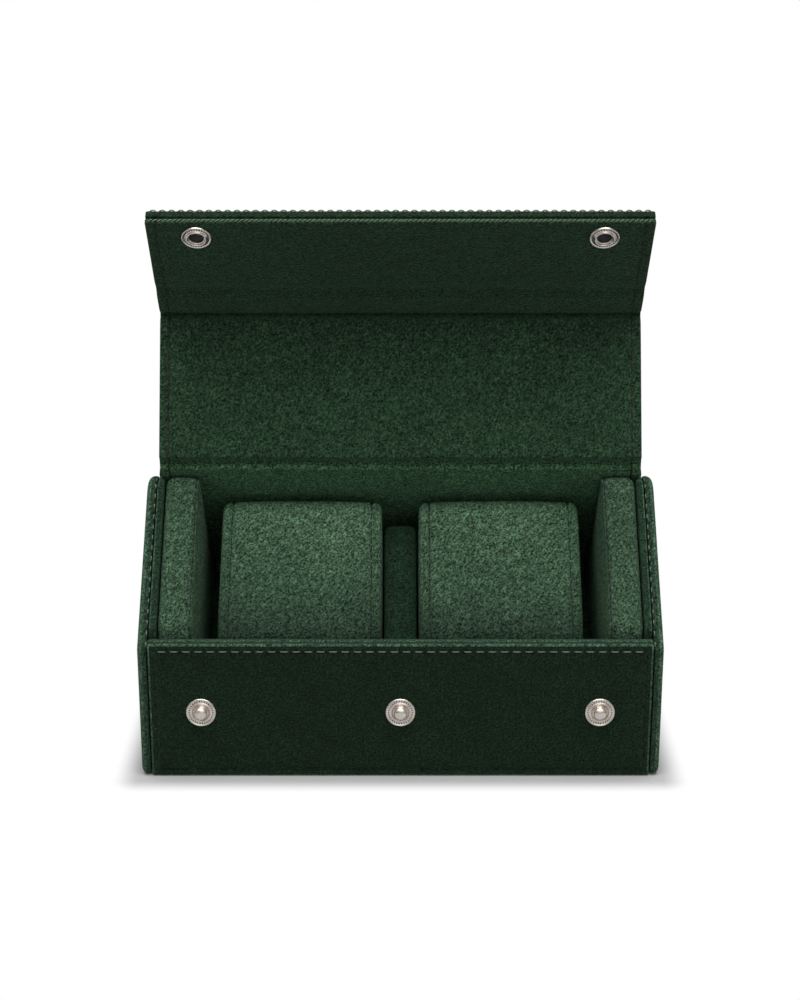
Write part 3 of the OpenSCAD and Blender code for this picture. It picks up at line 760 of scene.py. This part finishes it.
def simulated(piece, pinned):
    """Swells a cushion as cloth under pressure. A coarse copy is simulated, pinned where a seam
    holds it, and the piece's own vertices follow it, none of them further than the most swell"""
    coarse = bpy.data.objects.new(piece.name + "_coarse", piece.data.copy())
    bpy.context.scene.collection.objects.link(coarse)
    remesh = coarse.modifiers.new("remesh", "REMESH")
    remesh.mode = "VOXEL"
    remesh.voxel_size = coarse_voxel
    solid = bpy.data.meshes.new_from_object(coarse.evaluated_get(bpy.context.evaluated_depsgraph_get()))
    coarse.modifiers.clear()
    coarse.data = solid
    rest = np.array([v.co for v in solid.vertices])
    held = coarse.vertex_groups.new(name="held")
    for i, place in enumerate(rest):
        if pinned(place):
            held.add([i], 1, "REPLACE")
    cloth = coarse.modifiers.new("cloth", "CLOTH")
    cloth.settings.use_pressure = True
    cloth.settings.uniform_pressure_force = 4
    cloth.settings.vertex_group_mass = "held"
    cloth.settings.effector_weights.gravity = 0
    cloth.point_cache.frame_start, cloth.point_cache.frame_end = 1, swell_frames
    for step in range(1, swell_frames + 1):
        bpy.context.scene.frame_set(step)
    swollen = coarse.evaluated_get(bpy.context.evaluated_depsgraph_get())
    moved = np.array([v.co for v in swollen.data.vertices]) - rest
    bpy.context.scene.frame_set(1)
    bpy.data.objects.remove(coarse)
    far = np.linalg.norm(moved, axis=1)
    moved *= (most_swell * np.tanh(far / most_swell) / np.maximum(far, 1e-9))[:, None]
    tree = kdtree.KDTree(len(rest))
    for i, place in enumerate(rest):
        tree.insert(place, i)
    tree.balance()
    for vertex in piece.data.vertices:
        near = tree.find_n(vertex.co, 8)
        shares = np.array([1 / (distance + 0.3 * coarse_voxel) ** 2 for _, _, distance in near])
        shift = (moved[[i for _, i, _ in near]] * shares[:, None]).sum(0) / shares.sum()
        vertex.co += Vector(shift)


def seam_channel(distance, deep, wide=0.5 * mm):
    """How far a sewn channel draws the cloth in, at a distance from its thread"""
    return deep * math.exp(-(distance / wide) ** 2)


def seam_round(ring, x, side):
    """A closed seam line round a ring in the side view, upright on its left (1) or right (-1)"""
    line = []
    for i, spot in enumerate(ring):
        way = (ring[(i + 1) % len(ring)] - ring[i - 1]).normalized()
        line.append(((x, *spot), (0, *(left_of(way) * side))))
    return line + line[:1]


def moved_in(outline, gaps):
    """An outline wound anticlockwise, with each side moved inwards by its own gap"""
    moved = []
    for i, here in enumerate(outline):
        before, after = outline[i - 1], outline[(i + 1) % len(outline)]
        a, b = (here - before).normalized(), (after - here).normalized()
        p, q = here + left_of(a) * gaps[i - 1], here + left_of(b) * gaps[i]
        moved.append(p + a * ((q - p).x * b.y - (q - p).y * b.x) / (a.x * b.y - a.y * b.x))
    return moved


pad_radii = [6 * mm, 6 * mm, 6 * mm, 3.2 * mm, 6 * mm]
pad_seam_in = 1.9 * mm
pad_rim, pad_back_rim = 2.6 * mm, 3.2 * mm
pad_crown = 0.8 * mm
pad_clear = 0.3 * mm
pad_bulge = 1.5 * mm

for side, hand in ((-1, "left"), (1, "right")):
    pad_out, pad_in = side_span("end_pad_" + hand)
    pad_back = pad_out - side_slot
    pad_t = pad_back - (pad_in - pad_bulge)
    hexagon = corners("end_layer_" + hand)
    start = min(range(6), key=lambda i: hexagon[i].x + hexagon[i].y)
    floor_front, floor_rear, eave_rear, top_rear, top_front, eave_front = (
        hexagon[(start + i) % 6] for i in range(6))
    a, b = top_rear - eave_rear, top_front - eave_front
    gap = eave_front - eave_rear
    apex = eave_rear + a * ((gap.x * b.y - gap.y * b.x) / (a.x * b.y - a.y * b.x))
    outline = moved_in([floor_front, floor_rear, eave_rear, apex, eave_front],
                       [pad_clear, pad_clear, pad_clear, 0.1 * mm, pad_clear])
    seam_t = pad_t - pad_seam_in
    profile = rounding(pad_back_rim, 6)[:-1]
    sides = np.linspace(pad_back_rim, seam_t - 1.6 * mm, 7)
    profile += [(t, -0.25 * mm * math.sin(math.pi * t / seam_t)) for t in sides]
    near = (-1.2, -0.8, -0.5, -0.25, 0, 0.25, 0.5, 0.8)
    profile += [(seam_t + d * mm, seam_channel(d * mm, 0.8 * mm)) for d in near]
    rim_from = seam_t + 0.8 * mm
    for angle in (math.radians(18 * k) for k in range(6)):
        profile.append((rim_from + (pad_t - pad_crown - rim_from) * math.sin(angle),
                        0.05 * mm + pad_rim * (1 - math.cos(angle))))
    for inset in (3.0, 4.5, 6.5, 9, 12, 15.5, 20, 25):
        share = min((inset * mm - pad_rim) / (24 * mm), 1)
        profile.append((pad_t - pad_crown * (1 - share) ** 2, inset * mm))
    loops = [[Vector((side * (pad_back - t), u, v))
              for u, v in round_loop(outline, pad_radii, inset, 8, 2.5 * mm)] for t, inset in profile]
    pad = lofted("end_pad_cover_" + hand, loops, pad_suede)
    simulated(pad, lambda p: pad_back - abs(p[0]) < 3 * mm)
    dress(pad, "case", "pad_cover", "end_pad_" + hand)
    ring = round_loop(outline, pad_radii, 0.55 * mm, 8, 2.5 * mm)
    seam_line = seam_round(ring, side * (pad_back - seam_t), -1)
    seam = sewn_lines("end_pad_stitches_" + hand, [seam_line], dark_thread, 3.0 * mm, 2.0 * mm, 0.4 * mm)
    dress(seam, "case", "pad_cover")

# ---- Cradle and divider -----------------------------------------------
# Two wedges of foam under lining cloth make the V-shaped bed that the pillows lie in, and a
# narrow padded wall stands between the two pillows and keeps them apart.

for node, name in (("cradle_ramp", "cradle_ramp_cover"), ("cradle_toe", "cradle_toe_cover")):
    low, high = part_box(node)
    wedge = covered_board(name, corners(node), (low.x, high.x), on_side(1), inner_suede,
                          edge=1.0 * mm, corner=1.0 * mm)
    dress(wedge, "case", "lining", node)


def hull_outline(node):
    """The convex side-view outline of a CAD node, wound anticlockwise"""
    points = sorted({(round(v.co.y, 6), round(v.co.z, 6)) for v in frame["nodes"][node].data.vertices})

    def half(ordered):
        chain = []
        for p in ordered:
            while len(chain) > 1 and ((chain[-1][0] - chain[-2][0]) * (p[1] - chain[-2][1])
                                      <= (chain[-1][1] - chain[-2][1]) * (p[0] - chain[-2][0])):
                chain.pop()
            chain.append(p)
        return chain[:-1]
    return [Vector(p) for p in half(points) + half(reversed(points))]


divider_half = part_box("divider")[1].x
divider_outline = hull_outline("divider")
divider_edge = 2.2 * mm
profile = [(-divider_half + x, inset) for x, inset in rounding(divider_edge, 6)]
profile += [(x * mm, -0.2 * mm) for x in (-2, 0, 2)]
profile += [(-x, inset) for x, inset in reversed(profile[:7])]
loops = [[Vector((x, u, v)) for u, v in round_loop(divider_outline, 0.4 * mm, inset, 2, 2.5 * mm)]
         for x, inset in profile]
divider = lofted("divider_cover", loops, inner_suede)
dress(divider, "case", "lining", "divider")

# ---- Pillows ----------------------------------------------------------
# Each pillow is a block of foam in a sewn cover: a band goes round it and is closed at each end
# by a side panel. A row of stitches near each edge holds the band down in a shallow channel.

# Painted shade and light: the pillows' cloth grows darker lower down, to 0.28 at 45 mm high, and a little
# brighter at the top
pillow_suede = suede("pillow_suede", (0.0700, 0.1350, 0.0780), nap=0.85,
                     fade=((45 * mm, 88 * mm, 0.28, 1.15),))
up_slope = Vector((-slope_way.x, slope_way.y))
out_of_case = left_of(up_slope)
section_steps = 112
pillow_fullness = 8.0
pillow_clear = 0.2 * mm
pillow_rim = 2.6 * mm
pillow_seam_in = 4.4 * mm


def reach_along(node, way):
    """The least and greatest reach of a CAD node along a way in the side view"""
    reach = [v.co.y * way.x + v.co.z * way.y for v in frame["nodes"][node].data.vertices]
    return min(reach), max(reach)


def pillow_section(half_up, half_out, inset):
    """The pillow's full rounded section, moved inwards: (up the slope, out of the case) points"""
    turns = [2 * math.pi * i / section_steps for i in range(section_steps)]
    power = 2 / pillow_fullness
    return [((half_up - inset) * math.copysign(abs(math.cos(a)) ** power, math.cos(a)),
             (half_out - inset) * math.copysign(abs(math.sin(a)) ** power, math.sin(a))) for a in turns]


def pillow_form(name, middle_x, centre, half_x, half_up, half_out):
    """The pillow's closed cover: a full rounded section, crowned across, with its seam channels"""
    seam_at = half_x - pillow_seam_in
    end_at = half_x - 0.5 * mm
    places = [(end_at - 0.2 * mm * inset / 20, inset * mm) for inset in (20, 15, 11, 8, 5.5, 4)]
    places += [(end_at - x, 0.5 * mm + inset) for inset, x in reversed(rounding(pillow_rim, 7))]
    for d in (1.2, 0.9, 0.6, 0.4, 0.2, 0, -0.2, -0.4, -0.6, -0.9, -1.3, -1.8, -2.6):
        places.append((seam_at + d * mm, 0.35 * mm + seam_channel(d * mm, 0.85 * mm)))
    for share in (0.8, 0.68, 0.55, 0.4, 0.25, 0.1):
        places.append((seam_at * share, 0.35 * mm * share ** 2 * 0.9))
    places += [(-x, inset) for x, inset in reversed(places)]
    loops = [[Vector((middle_x + x, *(centre + up_slope * u + out_of_case * v)))
              for u, v in pillow_section(half_up, half_out, inset)] for x, inset in places]
    return lofted(name, loops, pillow_suede)


for side, hand in ((-1, "left"), (1, "right")):
    ends_low, ends_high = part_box("pillow_ends_" + hand)
    middle_x = (ends_low.x + ends_high.x) / 2
    half_x = (ends_high.x - ends_low.x) / 2
    lowest, highest = reach_along("pillow_band_" + hand, up_slope)
    innermost, outermost = reach_along("pillow_band_" + hand, out_of_case)
    centre = up_slope * ((highest + lowest) / 2) + out_of_case * ((outermost + innermost) / 2)
    half_up, half_out = (highest - lowest) / 2 - pillow_clear, (outermost - innermost) / 2 - pillow_clear
    pillow = pillow_form("pillow_cover_" + hand, middle_x, centre, half_x, half_up, half_out)
    seam_at = half_x - pillow_seam_in
    simulated(pillow, lambda p: abs(abs(p[0] - middle_x) - seam_at) < 2.2 * mm)
    dress(pillow, "pillow_" + hand, "pillow_cover", "pillow_band_" + hand, "pillow_ends_" + hand,
          "pillow_core_" + hand)
    ring = [centre + up_slope * u + out_of_case * v
            for u, v in pillow_section(half_up, half_out, 1.15 * mm)]
    seams = [seam_round(ring, middle_x + end * seam_at, 1) for end in (-1, 1)]
    sewn = sewn_lines("pillow_stitches_" + hand, seams, dark_thread, 3.4 * mm, 2.2 * mm, 0.4 * mm)
    dress(sewn, "pillow_" + hand, "pillow_cover")

# ---- Press snaps ------------------------------------------------------
# Stamped from nickel-plated brass: three studs riveted through the front wall, two sockets in the
# flap and a plain cap outside each socket. A ring of fine beads runs round each stamped flange.


def snap_metal(name, colour, roughness):
    """Nickel plate: warm and bright, with fine handling scratches and a little tarnish"""
    material, tree, place = new_material(name)
    marks = cloud(tree, place, 900, 4)
    wear = spread(tree, marks, 0, 1, roughness - 0.08, roughness + 0.12)
    tone = spread(tree, cloud(tree, place, 350), 0, 1, 0.8, 1.1)
    return coated(material, colour, tone, {"Metallic": 1, "Roughness": wear}, marks, 0.15, 0.02 * mm)


def bead_tree():
    """Geometry nodes that set a ring of small beads round the Z axis"""
    tree, given = node_tree(
        "bead_ring", ("Geometry", "Geometry", None), ("Count", "Int", 30), ("Ring radius", "Float", 4.3 * mm),
        ("Bead radius", "Float", 0.26 * mm), ("Height", "Float", 0.6 * mm), ("Metal", "Material", None))
    ring = add(tree, "GeometryNodeMeshCircle", {
        "Vertices": given["Count"], "Radius": given["Ring radius"]})[0]
    lift = add(tree, "ShaderNodeCombineXYZ", {"Z": given["Height"]})[0]
    raised = add(tree, "GeometryNodeTransform", {"Geometry": ring, "Translation": lift})[0]
    bead = add(tree, "GeometryNodeMeshIcoSphere", {"Subdivisions": 2, "Radius": given["Bead radius"]})[0]
    placed = add(tree, "GeometryNodeInstanceOnPoints", {"Points": raised, "Instance": bead})[0]
    return ended(tree, placed, given["Metal"])


bead_ring = bead_tree()
nickel = snap_metal("nickel_plate", (0.80, 0.73, 0.67), 0.26)
# Near-black for the inside of the sockets' holes: painted shade, as the hole is only a shallow dish
painted_hole_shade = plain("socket_hole_painted_shade", (0.004, 0.004, 0.004), 0.6)
turn_steps = 72


def snap_face(profile, beads, hole=0):
    """One snap about its own Z axis: a turned profile of (radius, height) and its ring of beads.
    Faces inside the radius of its hole are dark: painted shade of the hole's depth"""
    snap = bmesh.new()
    turns = [2 * math.pi * i / turn_steps for i in range(turn_steps)]
    rings = [[snap.verts.new((radius * mm * math.cos(a), radius * mm * math.sin(a), height * mm))
              for a in (turns if radius else [0])] for radius, height in profile]
    for low, high in zip(rings, rings[1:]):
        for i in range(turn_steps):
            k = (i + 1) % turn_steps
            around = [low[i % len(low)], low[k % len(low)], high[k % len(high)], high[i % len(high)]]
            face = snap.faces.new(list(dict.fromkeys(around)))
            face.material_index = int(max(math.hypot(v.co.x, v.co.y) for v in face.verts) < hole * mm)
    bmesh.ops.recalc_face_normals(snap, faces=snap.faces)
    if beads:
        count, ring_radius, bead_radius, height = beads
        snap.from_mesh(made_by(bead_ring, "beads", bpy.data.meshes.new("bead_holder"), nickel, {
            "Count": count, "Ring radius": ring_radius * mm, "Bead radius": bead_radius * mm,
            "Height": height * mm, "Metal": nickel}))
    mesh = bpy.data.meshes.new("snap_face")
    snap.to_mesh(mesh)
    snap.free()
    return mesh


def set_snaps(name, face, places, axis, body, node):
    """Copies of one snap face at places, standing along an axis, as one piece"""
    turn = Vector(axis).to_track_quat("Z", "Y").to_matrix().to_4x4()
    joined = bmesh.new()
    for place in places:
        snap = face.copy()
        snap.transform(turn)
        snap.transform(Matrix.Translation(place))
        joined.from_mesh(snap)
        bpy.data.meshes.remove(snap)
    mesh = bpy.data.meshes.new(name)
    joined.to_mesh(mesh)
    joined.free()
    mesh.shade_smooth()
    for metal in (nickel, painted_hole_shade):
        mesh.materials.append(metal)
    dress(make_object(name, mesh, nickel), body, "snap_metal", node)


stud_profile = [
    (0, -0.1), (5.3, -0.1), (5.4, 0.1), (5.4, 0.45), (5.3, 0.66), (5.1, 0.76), (4.92, 0.7), (4.8, 0.58),
    (3.8, 0.58), (3.68, 0.74), (3.45, 0.8), (3.2, 0.7), (3.0, 0.42), (2.8, 0.34), (1.9, 0.34), (1.76, 0.5),
    (1.74, 0.9), (1.9, 1.1), (2.25, 1.3), (2.42, 1.6), (2.45, 1.85), (2.38, 2.2), (2.15, 2.55), (1.75, 2.82),
    (1.2, 3.0), (0.6, 3.08), (0, 3.1)]
socket_profile = [
    (0, -0.1), (5.3, -0.1), (5.4, 0.1), (5.4, 0.7), (5.3, 0.95), (5.1, 1.05), (4.92, 1.0), (4.8, 0.88),
    (4.0, 0.88), (3.85, 1.1), (3.7, 1.42), (3.5, 1.58), (3.3, 1.6), (3.12, 1.5), (3.0, 1.25), (2.98, 1.0),
    (2.9, 0.85), (2.78, 0.9), (2.66, 0.78), (2.62, 0.5), (2.62, 0.06), (0, 0.06)]
cap_profile = [
    (0, -0.1), (5.3, -0.1), (5.4, 0.1), (5.38, 0.35), (5.2, 0.52), (4.9, 0.6), (4.7, 0.56), (4.5, 0.62),
    (3.9, 0.8), (3.0, 0.97), (2.0, 1.05), (1.0, 1.09), (0, 1.1)]

studs_low, studs_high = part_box("snap_studs")
stud_z = (studs_low.z + studs_high.z) / 2
snap_x = studs_high.x - max(stud_profile)[0] * mm
set_snaps("studs", snap_face(stud_profile, (30, 4.3, 0.24, 0.58)),
          [Vector((x, panel_low.y, stud_z)) for x in (-snap_x, 0, snap_x)], (0, -1, 0), "case", "snap_studs")
caps_low, caps_high = reach_along("socket_caps", strip_way)
socket_mid = eave + strip_way * ((caps_high + caps_low) / 2 - eave.dot(strip_way))
for name, profile, beads, hole, offset, sign, node in (
        ("sockets", socket_profile, (30, 4.4, 0.24, 0.88), 2.65, lining_faces[1], 1, "snap_sockets"),
        ("socket_caps_plain", cap_profile, None, 0, outer_faces[0], -1, "socket_caps")):
    spot = socket_mid + flap_normal * offset
    set_snaps(name, snap_face(profile, beads, hole), [Vector((x, *spot)) for x in (-snap_x, snap_x)],
              (0, *(flap_normal * sign)), "lid_flap", node)
rivet_finish = frame["nodes"]["stud_rivets"].data.materials
rivet_finish.clear()
rivet_finish.append(nickel)
